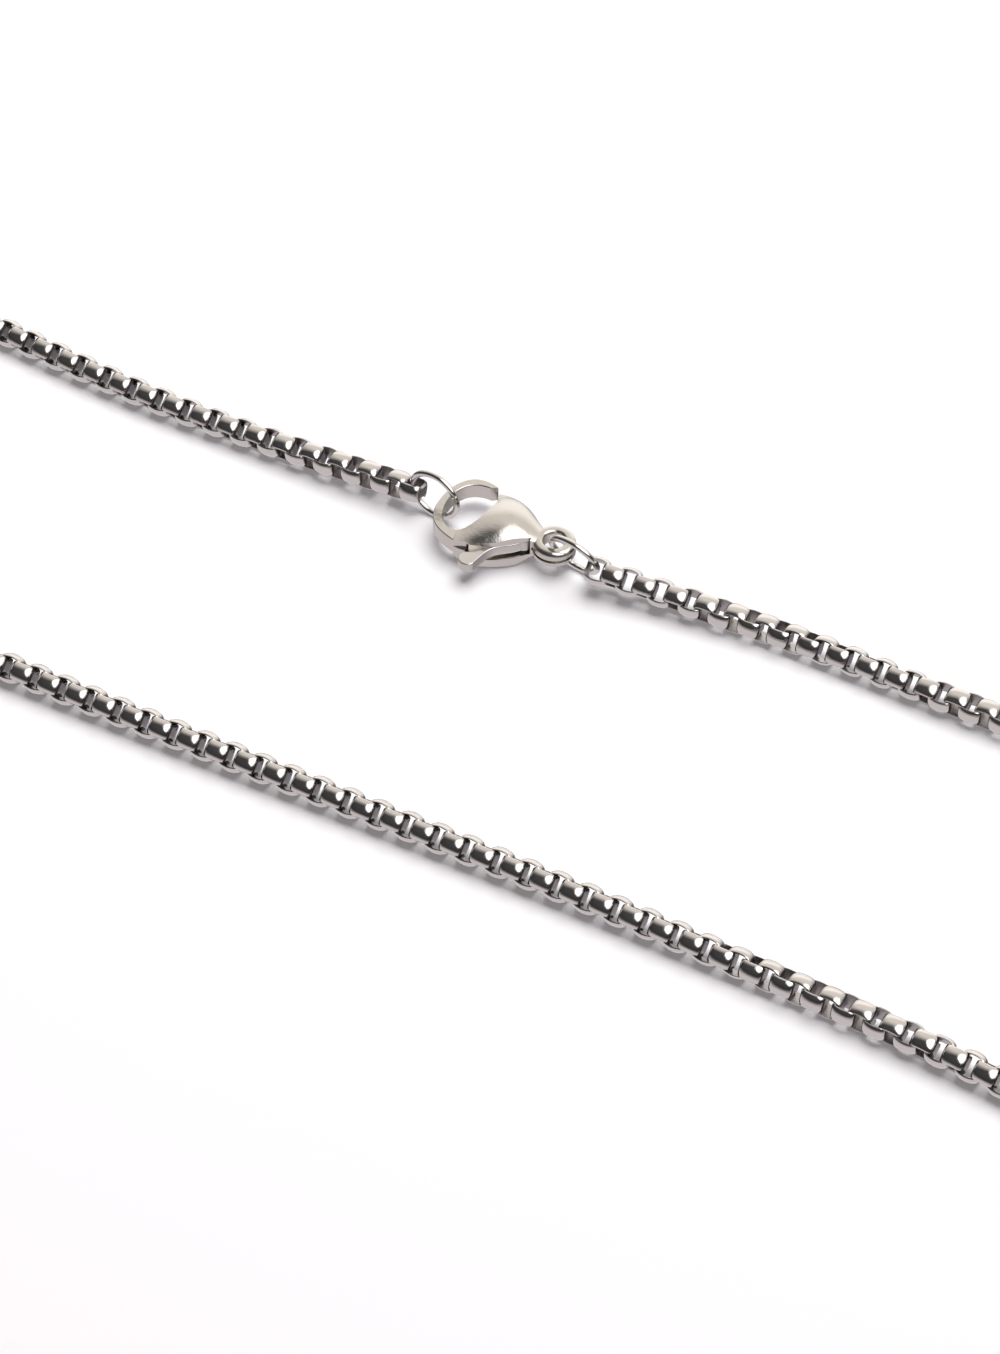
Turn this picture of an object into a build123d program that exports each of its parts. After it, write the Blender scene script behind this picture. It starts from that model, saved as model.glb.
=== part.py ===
from build123d import *
import math
import os

# A round box chain necklace with its lobster clasp, laid flat as a closed loop.
# Millimetres. +Z up, the chain rests on z = 0, +X along the loop's long axis.
# The origin is the centre of the loop's outline, at the surface that it lies on.

# Chain. The strand is one closed body of the chain's outer size. Its two end links are real links.
CHAIN_DIAMETER = 3.0
LINK_LENGTH = 2.42
LINK_WIDTH = 1.86          # width of a link's two walls, across the chain
LINK_BAR_WIDTH = 1.30      # width of the crossbars that join the walls
LINK_BAR = 0.34            # thickness of a crossbar
LINK_CLEAR_HEIGHT = 2.06   # clear height between a link's two walls
STRAND_GAP = 0.05          # between an end link and the strand
TAIL_LINK_ROLL = -57.0     # degrees about the chain, from walls above and below
HOOK_LINK_ROLL = 66.0

# The strand's centre line, from the link beside the clasp's tail, round the loop,
# to the link beside the hook: one row for each point that it bends at
STRAND_ROUTE = [
    # x, y, z
    (5.3, 18.55, 2.3),
    (16.0, 19.8, 1.5),
    (29.0, 20.3, 1.5),
    (45.0, 19.9, 1.5),
    (62.0, 20.3, 1.5),
    (79.0, 21.7, 1.5),
    (95.8, 21.4, 1.5),
    (108.3, 14.5, 1.5),
    (114.9, 1.0, 1.5),
    (109.3, -13.0, 1.5),
    (96.8, -21.0, 1.5),
    (80.0, -22.3, 1.5),
    (62.0, -20.0, 1.5),
    (43.0, -19.6, 1.5),
    (23.0, -19.3, 1.5),
    (2.0, -19.6, 1.5),
    (-20.0, -20.1, 1.5),
    (-42.0, -20.4, 1.5),
    (-62.0, -20.9, 1.5),
    (-80.0, -22.84, 1.5),
    (-97.3, -20.7, 1.5),
    (-109.8, -12.2, 1.5),
    (-114.66, 1.0, 1.5),
    (-109.3, 14.0, 1.5),
    (-97.3, 21.6, 1.5),
    (-81.0, 21.9, 1.5),
    (-66.0, 20.4, 1.5),
    (-50.0, 19.3, 1.5),
    (-34.0, 19.6, 1.5),
    (-19.55, 19.85, 2.3),
]
BEND_SHARE = 0.45          # part of the shorter run beside a bend that its arc takes up

# Jump rings, both of one size. Each stands on the surface, on edge or leaning.
RING_WIRE = 0.68
RING_MIDDLE_RADIUS = 2.76
HOOK_RING_AT = (-15.57, 19.55, 3.10)
HOOK_RING_LEAN = 0.0       # degrees from upright, its top towards -Y
HOOK_RING_TURN = -5.7      # degrees about +Z, from the X axis
TAIL_RING_AT = (1.12, 18.85, 2.95)
TAIL_RING_LEAN = 19.0
TAIL_RING_TURN = -7.5

# Clasp. It lies level. Its plan is drawn from CLASP_AT, with -X towards the hook,
# and its heights are measured from its middle plane.
CLASP_AT = (-1.80, 19.50, 2.20)
BAND_HEIGHT = 1.90         # of the hook's band
BAND_EDGE = 0.12           # rounding of the band's long edges
ROOM_TOP = 0.66            # of the room that the lever turns in
ROOM_FLOOR = -0.95
TAIL_AT = (0.14, 0.25)
TAIL_CLEAR_RADIUS = 1.65   # the body ends here, within the tail loop's wall
SLIT_TOP = -0.05           # of the slit round the tail loop
SLIT_FLOOR = -0.40
SLIT_RADIUS = 1.75         # how near to the loop's middle it is cut

# Section of the tail loop, from its middle
TAIL_SECTION = [
    # radius, z, rounding
    (1.15, -0.95, 0.45),
    (1.15, 0.90, 0.35),
    (2.25, 0.90, 0.60),
    (2.25, -0.95, 0.20),
]

# Cross-sections of the domed shell, from the tail to the hook
SHELL_SECTIONS = [
    # x, lower y, upper y, height above the middle plane, depth below it
    (-0.9, -1.3, 1.8, 0.70, 0.70),
    (-3.0, -3.5, 2.6, 1.75, 1.60),
    (-5.2, -4.6, 3.95, 2.40, 1.80),
    (-7.4, -6.0, 4.30, 1.85, 1.40),
    (-9.8, -8.0, 4.10, 1.00, 1.00),
]

# Outlines in the clasp's plan, each a smooth curve through its points
HOOK_OUTER = [(-8.42, 4.10), (-9.6, 4.38), (-11.3, 4.0), (-12.5, 2.5), (-13.0, -0.3), (-12.62, -2.35),
              (-11.8, -3.5), (-10.6, -4.25), (-9.0, -4.75)]
HOOK_INNER = [(-9.10, 3.62), (-10.1, 3.52), (-11.1, 3.05), (-11.9, 1.9), (-12.2, -0.3), (-11.75, -1.9),
              (-11.0, -2.85), (-10.1, -3.35), (-9.3, -3.35)]
SHELL_INNER = [(-9.3, -3.35), (-8.65, -2.95), (-8.05, -2.1), (-7.6, -1.1), (-7.35, 0.0), (-7.3, 1.1),
               (-7.4, 2.1), (-7.72, 2.95)]
SHELL_BACK = [(-8.28, 4.13), (-6.7, 4.25), (-5.2, 3.95), (-3.9, 3.30), (-2.7, 2.35), (-1.6, 1.6)]
SPINE = [(-1.3, -0.9), (-2.0, -1.3), (-2.75, -2.15), (-3.55, -2.95), (-4.4, -3.55), (-5.3, -4.03),
         (-6.5, -4.5), (-7.8, -4.78), (-9.0, -4.75)]
SHELL_LOWER = [(-9.0, -4.75), (-7.6, -4.43), (-6.7, -4.18), (-5.8, -3.85), (-4.8, -3.36), (-4.0, -2.77),
               (-3.2, -2.07), (-2.42, -1.37), (-1.9, -0.85)]

# The clasp's body from the side: how far down it reaches under the lever
BODY_SIDE = [(0.5, -0.85), (-1.4, -1.1), (-2.8, -1.95), (-7.2, -1.95), (-8.6, -1.5), (-9.4, -0.95), (-9.4, 3.0),
             (0.5, 3.0)]

# The space that the lever turns in, as straight-sided corners
CAVITY = [(-1.9, -6.0), (-1.9, 0.3), (-2.9, 1.25), (-5.0, 2.55), (-6.6, 3.05), (-9.0, 3.05), (-9.0, -2.4),
          (-7.9, -3.3), (-7.6, -4.0), (-7.6, -6.0)]

# The shell is cut away above the lever, beyond this edge
LEVER_OPEN_TOP = [(-1.9, -0.85), (-1.9, -6.0), (-9.0, -6.0), (-9.0, -4.75)]

# Where the shell opens for the beak, between its front and the hook's tip
MOUTH = [(-9.02, 3.45), (-8.36, 4.03), (-8.36, 5.0), (-5.5, 5.0), (-5.5, 2.0), (-9.02, 2.0)]

# The quarter of the tail that its slit runs round
TAIL_SLIT = [(-1.8, -6.0), (4.0, -6.0), (4.0, 0.0), (-1.8, 0.0)]

TALL = 3.0                 # half height of a cutter, beyond every part of the clasp
WIDE = 9.0                 # radius of a cutter, beyond every part of the clasp

# Lever: a flat bar with a thumb tab, a hub on the pin, and a gate that ends in a beak
PIVOT = (-3.1, -0.5)
LEVER_HEIGHT = 1.20
HUB_RADIUS = 1.10
BORE_RADIUS = 0.55
PIN_RADIUS = 0.50
PIN_HALF_LENGTH = 1.20
PIN_SOCKET_GAP = 0.01
SHELL_FRONT_RADIUS = 5.30  # about the pivot
BEAK_BACK_RADIUS = 5.38    # about the pivot
THUMB_OUTER = [(-2.75, -1.52), (-3.2, -2.07), (-4.0, -2.77), (-4.75, -3.4), (-5.2, -4.1), (-5.45, -4.9),
               (-5.7, -6.1)]
TAB_END = [(-5.7, -6.1), (-6.05, -6.8), (-6.75, -6.95), (-7.4, -6.6), (-7.6, -5.9)]
THUMB_INNER = [(-7.6, -5.9), (-7.3, -5.35), (-6.75, -5.05), (-6.25, -4.6), (-5.9, -3.95), (-5.3, -3.1),
               (-4.5, -2.2), (-4.0, -0.9)]
THUMB_EDGE = 0.12          # rounding of the thumb tab's long edges
GATE = [(-4.0, -0.9), (-6.0, 0.35), (-7.25, 1.7), (-7.45, 2.5), (-7.72, 2.95), (-8.0, 3.5), (-7.4, 3.3),
        (-6.8, 2.75), (-5.1, 2.25), (-3.1, 0.6)]
BEAK = [(-8.28, 4.13), (-7.72, 2.95), (-7.0, 2.0), (-5.5, 2.0), (-5.5, 5.0), (-8.28, 5.0)]


def slab(outline, low, high):
    """A plate with this closed outline, between two heights."""
    return Pos(0, 0, low) * extrude(make_face(outline), high - low)


def strand_path():
    """Straight runs joined by tangent arcs, each as large as its two runs allow."""
    points = [Vector(*row) for row in STRAND_ROUTE]
    radii = []
    for before, here, after in zip(points, points[1:], points[2:]):
        into, out = here - before, after - here
        half_turn = math.radians(into.get_angle(out)) / 2
        radii.append(BEND_SHARE * min(into.length, out.length) / math.tan(half_turn))
    print("bend radii", [round(radius) for radius in radii])
    return FilletPolyline(*points, radius=radii)


def make_strand(path):
    section = Plane(path @ 0, z_dir=path % 0) * Circle(CHAIN_DIAMETER / 2)
    strand = sweep(section, path)
    straight_volume = path.length * math.pi * CHAIN_DIAMETER**2 / 4
    print("strand length", round(path.length, 2), "volume ratio", round(strand.volume / straight_volume, 4))
    return strand


def make_link():
    """A link at the origin: chain axis on X, walls above and below, a crossbar at each end."""
    window = Rectangle(LINK_LENGTH - 2 * LINK_BAR, LINK_CLEAR_HEIGHT)
    side = Rectangle(LINK_LENGTH, CHAIN_DIAMETER) - window
    band = extrude(Plane.XZ * side, LINK_WIDTH / 2, both=True)
    barrel = extrude(Plane.YZ * Circle(CHAIN_DIAMETER / 2), LINK_LENGTH / 2, both=True)
    between_walls = Box(LINK_LENGTH, LINK_WIDTH, LINK_CLEAR_HEIGHT)
    waist = between_walls - Box(LINK_LENGTH, LINK_BAR_WIDTH, LINK_CLEAR_HEIGHT)
    return (band & barrel) - waist


def place_link(link, path, at, side, roll):
    """The link just beyond one end of the strand: side is -1 at its start and 1 at its end."""
    along = (path % at).normalized()
    centre = path @ at + along * side * (LINK_LENGTH / 2 + STRAND_GAP)
    across = Vector(0, 0, 1).cross(along).normalized()
    upright = Plane(centre, x_dir=along, z_dir=along.cross(across))
    return upright.location * Rot(roll, 0, 0) * link


def make_jump_ring(at, lean, turn):
    return Pos(*at) * Rot(0, 0, turn) * Rot(90 + lean, 0, 0) * Torus(RING_MIDDLE_RADIUS, RING_WIRE / 2)


def make_shell():
    """The domed shell as a whole, with the beak and before its slot is cut."""
    sections = []
    for x, low, high, height, depth in SHELL_SECTIONS:
        middle = (low + high) / 2
        plane = Plane((x, 0, 0), x_dir=(0, 1, 0), z_dir=(1, 0, 0))
        above = plane * ThreePointArc((low, 0), (middle, height), (high, 0))
        below = plane * ThreePointArc((high, 0), (middle, -depth), (low, 0))
        sections.append(make_face([above, below]))
    return loft(sections)


def shell_outline():
    return [
        Spline(*SHELL_INNER),
        Line(SHELL_INNER[-1], SHELL_BACK[0]),
        Spline(*SHELL_BACK),
        Line(SHELL_BACK[-1], SPINE[0]),
        Spline(*SPINE),
        Line(SPINE[-1], SHELL_INNER[0]),
    ]


def make_hook():
    half = BAND_HEIGHT / 2
    root = Line(HOOK_OUTER[-1], HOOK_INNER[-1])
    tip = Line(HOOK_INNER[0], HOOK_OUTER[0])
    hook = slab([Spline(*HOOK_OUTER), root, Spline(*HOOK_INNER), tip], -half, half)
    long_edges = hook.faces().filter_by(Axis.Z).edges().filter_by(GeomType.BSPLINE)
    return fillet(long_edges, BAND_EDGE)


def make_clasp_body(shell):
    outline = shell_outline()
    dome = shell & slab(outline, -TALL, TALL)
    side = make_face(Polyline(*BODY_SIDE, close=True))
    below = extrude(Plane.XZ * side, WIDE, both=True)
    lower_half = slab(outline, -TALL, 0) & below
    section = FilletPolyline(*[(radius, z) for radius, z, _ in TAIL_SECTION],
                             radius=[rounding for _, _, rounding in TAIL_SECTION], close=True)
    tail = Pos(*TAIL_AT) * revolve(Plane.XZ * make_face(section), Axis.Z)
    hole = Pos(*TAIL_AT) * Cylinder(TAIL_CLEAR_RADIUS, 2 * TALL)
    body = dome + lower_half + make_hook() - hole + tail
    above_lever = slab([Spline(*SHELL_LOWER), Polyline(*LEVER_OPEN_TOP)], 0, TALL)
    room = slab([Polyline(*CAVITY, close=True)], ROOM_FLOOR, ROOM_TOP)
    beyond_front = Pos(*PIVOT) * (Cylinder(WIDE, TALL) - Cylinder(SHELL_FRONT_RADIUS, TALL))
    mouth = slab([Polyline(*MOUTH, close=True)], -TALL, TALL) & beyond_front
    rim = slab([Circle(WIDE).edge()], SLIT_FLOOR, SLIT_TOP) - Cylinder(SLIT_RADIUS, 2 * TALL)
    slit = slab([Polyline(*TAIL_SLIT, close=True)], -TALL, TALL) & Pos(*TAIL_AT) * rim
    socket = Pos(*PIVOT) * Cylinder(PIN_RADIUS + PIN_SOCKET_GAP, 2 * (PIN_HALF_LENGTH + PIN_SOCKET_GAP))
    return body - above_lever - room - mouth - slit - socket


def make_lever(shell):
    half = LEVER_HEIGHT / 2
    thumb_root = Line(THUMB_INNER[-1], THUMB_OUTER[0])
    thumb = slab([Spline(*THUMB_OUTER), Spline(*TAB_END), Spline(*THUMB_INNER), thumb_root], -half, half)
    thumb_edges = thumb.faces().filter_by(Axis.Z).edges().filter_by(GeomType.BSPLINE)
    thumb = fillet(thumb_edges, THUMB_EDGE)
    gate = slab([Polyline(*GATE, close=True)], -half, half)
    hub = Pos(*PIVOT) * Cylinder(HUB_RADIUS, LEVER_HEIGHT)
    shell_end = shell & slab(shell_outline(), -TALL, TALL) & slab([Polyline(*BEAK, close=True)], -TALL, TALL)
    beak = shell_end - Pos(*PIVOT) * Cylinder(BEAK_BACK_RADIUS, 2 * TALL)
    bore = Pos(*PIVOT) * Cylinder(BORE_RADIUS, 2 * TALL)
    return thumb + gate + hub + beak - bore


def save(node, shape):
    export_step(shape, f"parts/{node}.step")


os.makedirs("parts", exist_ok=True)
path = strand_path()
link = make_link()
shell = make_shell()
clasp = Pos(*CLASP_AT)
save("strand", make_strand(path))
save("end_link_tail", place_link(link, path, 0, -1, TAIL_LINK_ROLL))
save("end_link_hook", place_link(link, path, 1, 1, HOOK_LINK_ROLL))
save("jump_ring_tail", make_jump_ring(TAIL_RING_AT, TAIL_RING_LEAN, TAIL_RING_TURN))
save("jump_ring_hook", make_jump_ring(HOOK_RING_AT, HOOK_RING_LEAN, HOOK_RING_TURN))
save("clasp_body", clasp * make_clasp_body(shell))
save("clasp_lever", clasp * make_lever(shell))
save("lever_pin", clasp * Pos(*PIVOT) * Cylinder(PIN_RADIUS, 2 * PIN_HALF_LENGTH))
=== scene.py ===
import bpy
import math
import numpy as np
from mathutils import Matrix, Vector


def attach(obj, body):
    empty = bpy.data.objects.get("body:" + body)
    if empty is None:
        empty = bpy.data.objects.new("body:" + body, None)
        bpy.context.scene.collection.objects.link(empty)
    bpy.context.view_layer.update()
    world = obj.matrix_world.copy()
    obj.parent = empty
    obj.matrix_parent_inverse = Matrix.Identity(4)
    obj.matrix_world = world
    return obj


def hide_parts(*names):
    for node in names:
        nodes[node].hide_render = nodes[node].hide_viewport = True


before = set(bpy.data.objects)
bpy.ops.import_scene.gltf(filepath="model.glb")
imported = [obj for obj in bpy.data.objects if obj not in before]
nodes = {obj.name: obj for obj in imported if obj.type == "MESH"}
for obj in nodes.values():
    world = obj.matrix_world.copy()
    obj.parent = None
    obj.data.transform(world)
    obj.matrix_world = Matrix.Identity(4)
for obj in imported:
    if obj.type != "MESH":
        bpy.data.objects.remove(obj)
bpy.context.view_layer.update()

# The strand: round box chain of stainless steel. Each link is a strip 0.5 mm thick, bent into a closed square
# band and soldered at a crossbar. The next link is threaded through it at 90 degrees. The finished chain is
# turned round on its outside and polished, so the links' walls are domed and their crossbars stay unpolished.
# Crossbars and band insides are also coloured darker: painted shade, where the links shade each other.
LINK_PITCH = 0.00162
LAST_LINK_REACH = 0.00126  # how far a last link's middle lies beyond the end of the strand's route
ROUTE_MM = [
    (5.3, 18.55, 2.3), (16.0, 19.8, 1.5), (29.0, 20.3, 1.5), (45.0, 19.9, 1.5), (62.0, 20.3, 1.5),
    (79.0, 21.7, 1.5), (95.8, 21.4, 1.5), (108.3, 14.5, 1.5), (114.9, 1.0, 1.5), (109.3, -13.0, 1.5),
    (96.8, -21.0, 1.5), (80.0, -22.3, 1.5), (62.0, -20.0, 1.5), (43.0, -19.6, 1.5), (23.0, -19.3, 1.5),
    (2.0, -19.6, 1.5), (-20.0, -20.1, 1.5), (-42.0, -20.4, 1.5), (-62.0, -20.9, 1.5), (-80.0, -22.84, 1.5),
    (-97.3, -20.7, 1.5), (-109.8, -12.2, 1.5), (-114.66, 1.0, 1.5), (-109.3, 14.0, 1.5), (-97.3, 21.6, 1.5),
    (-81.0, 21.9, 1.5), (-66.0, 20.4, 1.5), (-50.0, 19.3, 1.5), (-34.0, 19.6, 1.5), (-19.55, 19.85, 2.3),
]

# How the chain lies: from the clasp's tail, the distance in metres and how far the links have rolled there
LINK_ROLL = [
    (-0.00126, -57), (0.005, -52), (0.00875, -72), (0.012, -90), (0.015, -102), (0.020, -115),
    (0.025, -131), (0.0315, -142), (0.038, -172), (0.043, -185), (0.181, -218.4), (0.194, -173.4),
    (0.211, -128.4), (0.300, -128.4), (0.420, -141.6), (0.452, -147), (0.459, -154), (0.467, -172),
    (0.4736, -187), (0.4767, -204),
]

# Links have some play along the chain: from the tail, the distance in metres and the shift in millimetres
LINK_SHIFT = [
    (-0.00126, 0), (0.007, 0.55), (0.045, 0.55), (0.181, 0.50), (0.199, 0.27), (0.210, 0.07), (0.232, -0.38),
    (0.253, -0.25), (0.275, -0.35), (0.430, -2.3), (0.441, -1.6), (0.452, -1.1), (0.460, -0.85), (0.469, -0.5),
    (0.4767, 0),
]

# A quarter of a link's band, from the middle of a wall to the middle of a crossbar, in millimetres
BAND = [
    # outer x, outer z, inner x, inner z, half width
    (0.00, 1.500, 0.00, 1.04, 0.93),
    (0.40, 1.465, 0.38, 1.02, 0.93),
    (0.74, 1.380, 0.66, 0.97, 0.93),
    (0.98, 1.250, 0.80, 0.90, 0.92),
    (1.13, 1.080, 0.86, 0.82, 0.86),
    (1.20, 0.860, 0.87, 0.72, 0.74),
    (1.21, 0.550, 0.87, 0.50, 0.60),
    (1.21, 0.000, 0.87, 0.00, 0.54),
]
ACROSS_OUTSIDE = [-1.0, -0.93, -0.5, 0.0, 0.5, 0.93, 1.0]
ACROSS_INSIDE = [1.0, 0.0, -1.0]
TURNED_RADIUS = 1.5
EDGE_BEVEL = 0.05
BEND_FOOT = 0.60           # the bend from a crossbar to a wall, as heights from the link's middle
BEND_TOP = 1.05
CROSSBAR_TOP = 0.95        # above this height a link's outside is turned and polished
CREASE_DEGREES = 50        # an edge that turns by more than this is seen as an edge


def chain_line():
    """Points along the middle of the strand, from the clasp's tail round to its hook."""
    curve = bpy.data.curves.new("route", "CURVE")
    curve.dimensions = "3D"
    curve.resolution_u = 32
    spline = curve.splines.new("NURBS")
    spline.points.add(len(ROUTE_MM) - 1)
    for point, (x, y, z) in zip(spline.points, ROUTE_MM):
        point.co = (x / 1000, y / 1000, z / 1000, 1)
    spline.order_u = 3
    spline.use_endpoint_u = True
    holder = bpy.data.objects.new("route", curve)
    mesh = bpy.data.meshes.new_from_object(holder)
    line = np.array([vertex.co[:] for vertex in mesh.vertices])
    bpy.data.objects.remove(holder)
    bpy.data.meshes.remove(mesh)
    bpy.data.curves.remove(curve)
    return line


def link_places():
    """One matrix per link, from the last link at the clasp's tail to the last link at its hook."""
    line = chain_line()
    steps = np.diff(line, axis=0)
    lengths = np.linalg.norm(steps, axis=1)
    before = line[0] - LAST_LINK_REACH * steps[0] / lengths[0]
    after = line[-1] + LAST_LINK_REACH * steps[-1] / lengths[-1]
    line = np.vstack([before, line, after])
    run = np.concatenate([[0.0], np.cumsum(np.linalg.norm(np.diff(line, axis=0), axis=1))]) - LAST_LINK_REACH
    count = round((run[-1] - run[0]) / LINK_PITCH) + 1
    places = []
    for i, even in enumerate(np.linspace(run[0], run[-1], count)):
        at = even + np.interp(even, *zip(*LINK_SHIFT)) / 1000
        near = [np.clip(at + d, run[0], run[-1]) for d in (-LINK_PITCH / 2, 0, LINK_PITCH / 2)]
        behind, here, ahead = [np.array([np.interp(s, run, line[:, k]) for k in range(3)]) for s in near]
        along = Vector(ahead - behind).normalized()
        across = Vector((0, 0, 1)).cross(along).normalized()
        axes = Matrix((along, across, along.cross(across))).transposed().to_4x4()
        roll = math.radians(np.interp(even, *zip(*LINK_ROLL)) + 90 * (i % 2))
        places.append(Matrix.Translation(here) @ axes @ Matrix.Rotation(roll, 4, "X"))
    print("links", count, "length mm", round((run[-1] - run[0]) * 1000, 2))
    return places


def one_link():
    """Points in metres and faces of a link: chain axis on X, walls above and below. True marks a rougher face
    with painted shade.
    """
    half = BAND + [(ox, -oz, ix, -iz, w) for ox, oz, ix, iz, w in BAND[-2::-1]]
    stations = half + [(-ox, oz, -ix, iz, w) for ox, oz, ix, iz, w in half[-2:0:-1]]
    points = []
    for ox, oz, ix, iz, half_width in stations:
        wall = min(1.0, max(0.0, (abs(oz) - BEND_FOOT) / (BEND_TOP - BEND_FOOT)))
        for a in ACROSS_OUTSIDE:
            y = a * half_width
            bevel = EDGE_BEVEL if abs(a) == 1.0 else 0.0
            turned = TURNED_RADIUS - math.sqrt(TURNED_RADIUS**2 - y * y)
            z = oz - math.copysign((turned + bevel) * wall, oz)
            x = ox - math.copysign(bevel * (1 - wall), ox)
            points.append((x, y, z))
        points += [(ix, a * half_width, iz) for a in ACROSS_INSIDE]
    ring = len(ACROSS_OUTSIDE) + len(ACROSS_INSIDE)
    faces = []
    rough_and_shaded = []
    for i in range(len(stations)):
        after = (i + 1) % len(stations)
        lower = min(abs(stations[i][1]), abs(stations[after][1]))
        for j in range(ring):
            side = (j + 1) % ring
            faces.append((i * ring + j, i * ring + side, after * ring + side, after * ring + j))
            # Crossbars and the band's inside: rougher steel, coloured darker as painted shade between the links
            rough_and_shaded.append(lower < CROSSBAR_TOP or j >= len(ACROSS_OUTSIDE) - 1)
    return np.array(points) / 1000, faces, rough_and_shaded


def make_links(name, link_matrices, materials):
    points, faces, rough_and_shaded = one_link()
    all_points = []
    all_faces = []
    for n, matrix in enumerate(link_matrices):
        turn = np.array(matrix)
        all_points.append(points @ turn[:3, :3].T + turn[:3, 3])
        all_faces += [tuple(v + n * len(points) for v in face) for face in faces]
    mesh = bpy.data.meshes.new(name)
    mesh.from_pydata(np.concatenate(all_points).tolist(), [], all_faces)
    for material in materials:
        mesh.materials.append(material)
    mesh.polygons.foreach_set("material_index", [int(d) for d in rough_and_shaded] * len(link_matrices))
    mesh.polygons.foreach_set("use_smooth", [True] * len(mesh.polygons))
    mesh.update()
    mesh.set_sharp_from_angle(angle=math.radians(CREASE_DEGREES))
    piece = bpy.data.objects.new(name, mesh)
    bpy.context.collection.objects.link(piece)
    piece.visible_diffuse = False
    return piece


CLOUD_SIZE = 2.2           # size in mm of the patches that steel is glossier or duller in
CLOUD_TONE = 0.88          # how dark the duller patches are beside the others
MARK_RISE = 0.00015        # how high, in metres, a mark of 1 mm stands


def steel(name, color, rough, wave, grain, streak=(1, 1, 1)):
    """Stainless steel. Rough is its roughness where glossiest and dullest, wave the size in mm and the depth of
    its soft unevenness, grain the same of its fine marks, and streak how the marks are drawn out."""
    material = bpy.data.materials.new(name)
    material.use_nodes = True
    tree = material.node_tree
    shader = tree.nodes["Principled BSDF"]
    shader.inputs["Metallic"].default_value = 1.0
    place = tree.nodes.new("ShaderNodeTexCoord")

    def noise(size_mm, detail, scale):
        drawn = tree.nodes.new("ShaderNodeMapping")
        drawn.inputs["Scale"].default_value = scale
        texture = tree.nodes.new("ShaderNodeTexNoise")
        texture.inputs["Scale"].default_value = 1000 / size_mm
        texture.inputs["Detail"].default_value = detail
        tree.links.new(place.outputs["Object"], drawn.inputs["Vector"])
        tree.links.new(drawn.outputs["Vector"], texture.inputs["Vector"])
        return texture.outputs["Fac"]

    cloud = noise(CLOUD_SIZE, 5.0, (1, 1, 1))
    gloss = tree.nodes.new("ShaderNodeMapRange")
    gloss.inputs["From Min"].default_value = 0.3
    gloss.inputs["From Max"].default_value = 0.7
    gloss.inputs["To Min"].default_value = rough[0]
    gloss.inputs["To Max"].default_value = rough[1]
    tree.links.new(cloud, gloss.inputs["Value"])
    tree.links.new(gloss.outputs["Result"], shader.inputs["Roughness"])
    tone = tree.nodes.new("ShaderNodeMixRGB")
    tone.inputs["Color1"].default_value = (*[c * CLOUD_TONE for c in color], 1)
    tone.inputs["Color2"].default_value = (*color, 1)
    tree.links.new(cloud, tone.inputs["Fac"])
    tree.links.new(tone.outputs["Color"], shader.inputs["Base Color"])
    normal = None
    for (size_mm, depth), detail, scale in ((wave, 3.0, (1, 1, 1)), (grain, 2.0, streak)):
        bump = tree.nodes.new("ShaderNodeBump")
        bump.inputs["Strength"].default_value = depth
        bump.inputs["Distance"].default_value = size_mm * MARK_RISE
        tree.links.new(noise(size_mm, detail, scale), bump.inputs["Height"])
        if normal:
            tree.links.new(normal, bump.inputs["Normal"])
        normal = bump.outputs["Normal"]
    tree.links.new(normal, shader.inputs["Normal"])
    return material


turned_steel = steel("turned_steel", (0.74, 0.71, 0.69), (0.08, 0.18), (0.4, 0.10), (0.14, 0.20), (1, 0.2, 0.2))
# Steel of the crossbars and the bands' insides: rougher, and its darker colour is painted shade where links
# shade each other
rough_steel_painted_shade = steel("rough_steel_painted_shade", (0.42, 0.40, 0.40), (0.22, 0.36), (0.5, 0.25), (0.10, 0.30))
places = link_places()
chain = make_links("box_chain", places[1:-1], [turned_steel, rough_steel_painted_shade])
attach(chain, "necklace")
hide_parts("strand")

# The two last links: the same as the strand's links, one at each end of the chain. The jump ring goes through
# the band, so their soldered crossbar carries the ring.
for name, node, place in (
    ("last_link_tail", "end_link_tail", places[0]),
    ("last_link_hook", "end_link_hook", places[-1]),
):
    last_link = make_links(name, [place], [turned_steel, rough_steel_painted_shade])
    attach(last_link, "necklace")
    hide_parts(node)

# The jump rings: round stainless wire of 0.68 mm, wound into a ring and soldered shut, then tumbled bright.
# One hangs in the hook, the other in the tail's loop.
ring_steel = steel("ring_steel", (0.76, 0.74, 0.72), (0.07, 0.14), (0.6, 0.08), (0.12, 0.08))


def dress(node, material):
    mesh = nodes[node].data
    mesh.materials.clear()
    mesh.materials.append(material)
    nodes[node].visible_diffuse = False


dress("jump_ring_tail", ring_steel)
dress("jump_ring_hook", ring_steel)

# The clasp: a lobster clasp cast in stainless steel in one piece, with its hook, domed shell and tail loop.
# It is tumbled, which leaves a satin skin with a fine grain. The lever's pin is set in blind and filed flush.
clasp_steel = steel("clasp_steel", (0.70, 0.67, 0.63), (0.16, 0.28), (0.6, 0.28), (0.16, 0.35))
dress("clasp_body", clasp_steel)
dress("lever_pin", clasp_steel)

# The lever: a second casting, which turns on the pin against a hidden spring. Its outside is filed, and is
# duller than the clasp from the thumb nails that press it.
lever_steel = steel("lever_steel", (0.70, 0.68, 0.65), (0.24, 0.36), (0.5, 0.15), (0.12, 0.45), (0.3, 0.3, 1))
dress("clasp_lever", lever_steel)

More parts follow.
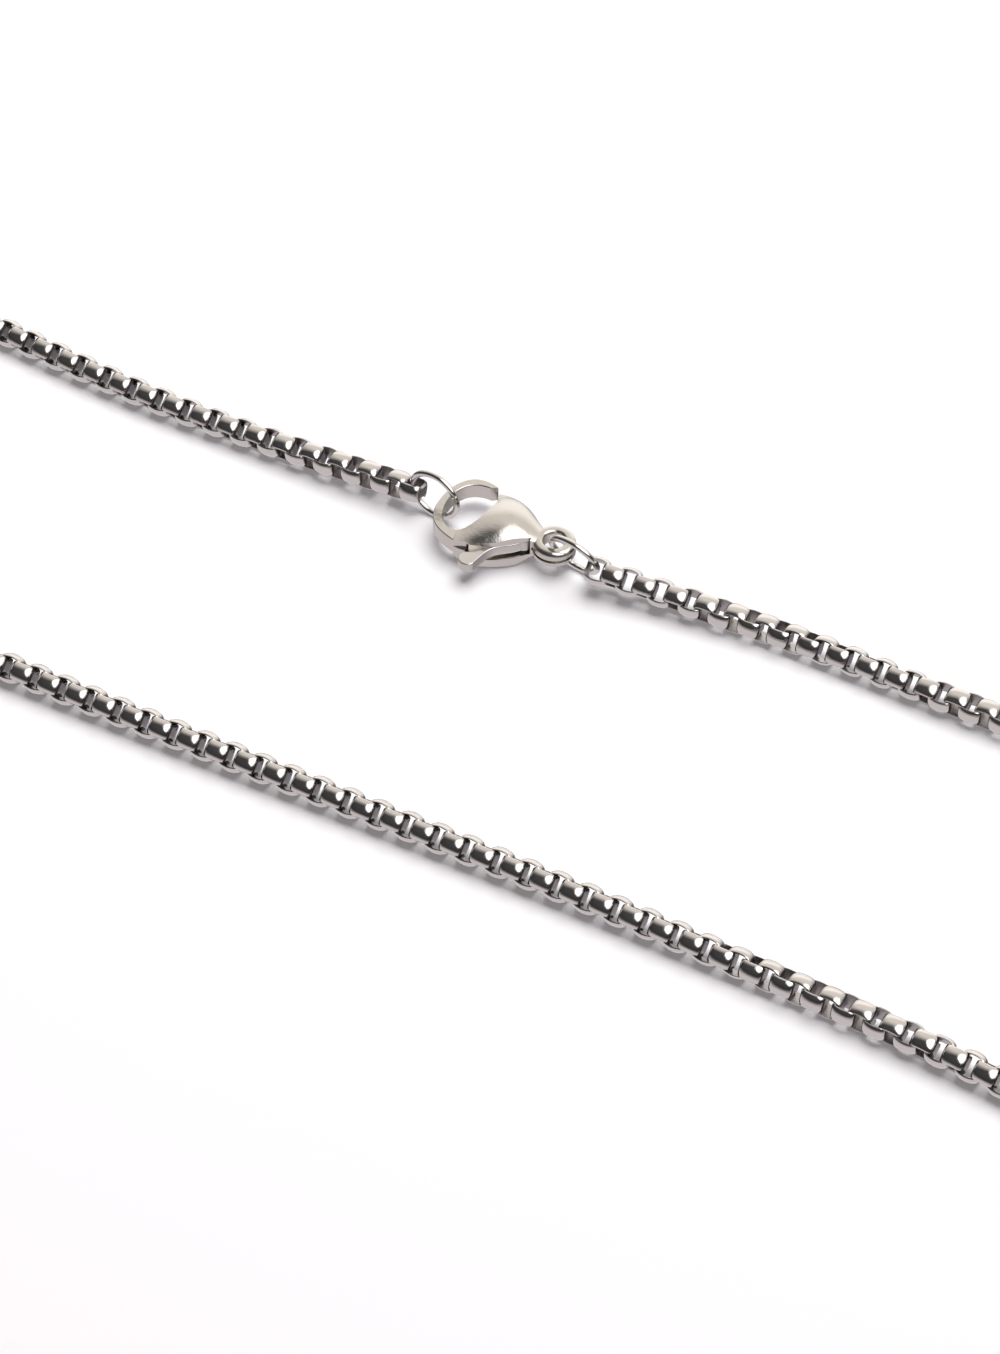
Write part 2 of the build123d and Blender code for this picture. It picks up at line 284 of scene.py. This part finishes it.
# The table: matt white card, far wider than the necklace. Close to the chain it lies in shade, so the steel
# doesn't mirror it but the card's tone in the studio below.
FLOOR_HALF = 1.5
floor_mesh = bpy.data.meshes.new("floor")
floor_corners = [(-FLOOR_HALF, -FLOOR_HALF, 0), (FLOOR_HALF, -FLOOR_HALF, 0),
                 (FLOOR_HALF, FLOOR_HALF, 0), (-FLOOR_HALF, FLOOR_HALF, 0)]
floor_mesh.from_pydata(floor_corners, [], [(0, 1, 2, 3)])
floor = bpy.data.objects.new("floor", floor_mesh)
floor.visible_glossy = False
bpy.context.collection.objects.link(floor)
card = bpy.data.materials.new("white_card")
card.use_nodes = True
card_shader = card.node_tree.nodes["Principled BSDF"]
card_shader.inputs["Base Color"].default_value = (0.93, 0.92, 0.925, 1)
card_shader.inputs["Roughness"].default_value = 0.9
floor_mesh.materials.append(card)

# The studio: a dim room with a warm sweep of paper behind, brighter at its foot, a white panel above and to the
# right, and the shaded card below. The steel mirrors this, but not the two soft lights that light the card.
scene = bpy.context.scene
scene.view_settings.view_transform = "Standard"
scene.view_settings.look = "None"
world = bpy.data.worlds.new("studio")
scene.world = world
world.use_nodes = True
world.cycles_visibility.diffuse = False
sky = world.node_tree
way = sky.nodes.new("ShaderNodeTexCoord")
STUDIO = [
    # name, direction, edge in degrees, core in degrees, colour
    ("room", (0, 0, 1), 180, 0, (0.07, 0.069, 0.07)),
    ("sweep", (-0.1, 0.85, 0.50), 80, 34, (0.84, 0.79, 0.73)),
    ("paper_foot", (-0.3, 0.95, 0.05), 45, 15, (0.50, 0.50, 0.50)),
    ("panel", (0.60, -0.12, 0.78), 38, 24, (2.6, 2.6, 2.6)),
    ("card", (-0.1, -0.35, -0.93), 80, 45, (0.74, 0.69, 0.71)),
]
glow = None
for patch, toward, edge, core, color in STUDIO:
    facing = sky.nodes.new("ShaderNodeVectorMath")
    facing.operation = "DOT_PRODUCT"
    facing.inputs[1].default_value = Vector(toward).normalized()
    sky.links.new(way.outputs["Generated"], facing.inputs[0])
    fade = sky.nodes.new("ShaderNodeMapRange")
    fade.name = patch
    fade.interpolation_type = "SMOOTHSTEP"
    fade.inputs["From Min"].default_value = math.cos(math.radians(edge))
    fade.inputs["From Max"].default_value = math.cos(math.radians(core))
    sky.links.new(facing.outputs["Value"], fade.inputs["Value"])
    layer = sky.nodes.new("ShaderNodeVectorMath")
    layer.operation = "MULTIPLY_ADD"
    layer.inputs[1].default_value = color
    sky.links.new(fade.outputs["Result"], layer.inputs[0])
    if glow:
        sky.links.new(glow, layer.inputs[2])
    glow = layer.outputs["Vector"]
sky.links.new(glow, sky.nodes["Background"].inputs["Color"])

SOFTBOXES = [
    # name, place, size, watts, colour
    ("key_behind", (0.0, 0.30, 0.74), 0.70, 8.6, (1.0, 0.99, 1.0)),
    ("fill_over", (0.0, 0.0, 1.2), 1.40, 3.0, (1.0, 0.91, 0.95)),
]
for name, at, size, watts, color in SOFTBOXES:
    light = bpy.data.lights.new(name, "AREA")
    light.size = size
    light.energy = watts
    light.color = color
    softbox = bpy.data.objects.new(name, light)
    softbox.location = at
    softbox.rotation_euler = (-Vector(at)).to_track_quat("-Z", "Y").to_euler()
    softbox.visible_glossy = False
    bpy.context.collection.objects.link(softbox)

# The camera: close, above and to the right of the clasp, looking down at it.
CAMERA_AT = (0.12023, -0.21976, 0.28037)
CAMERA_TILT = 42           # degrees from straight down
CAMERA_TURN = 28.16        # degrees about the vertical
camera_data = bpy.data.cameras.new("camera")
camera_data.lens = 100
camera_data.sensor_width = 36
camera_data.clip_start = 0.01
camera = bpy.data.objects.new("camera", camera_data)
camera.location = CAMERA_AT
camera.rotation_euler = (math.radians(CAMERA_TILT), 0, math.radians(CAMERA_TURN))
bpy.context.collection.objects.link(camera)
scene.camera = camera
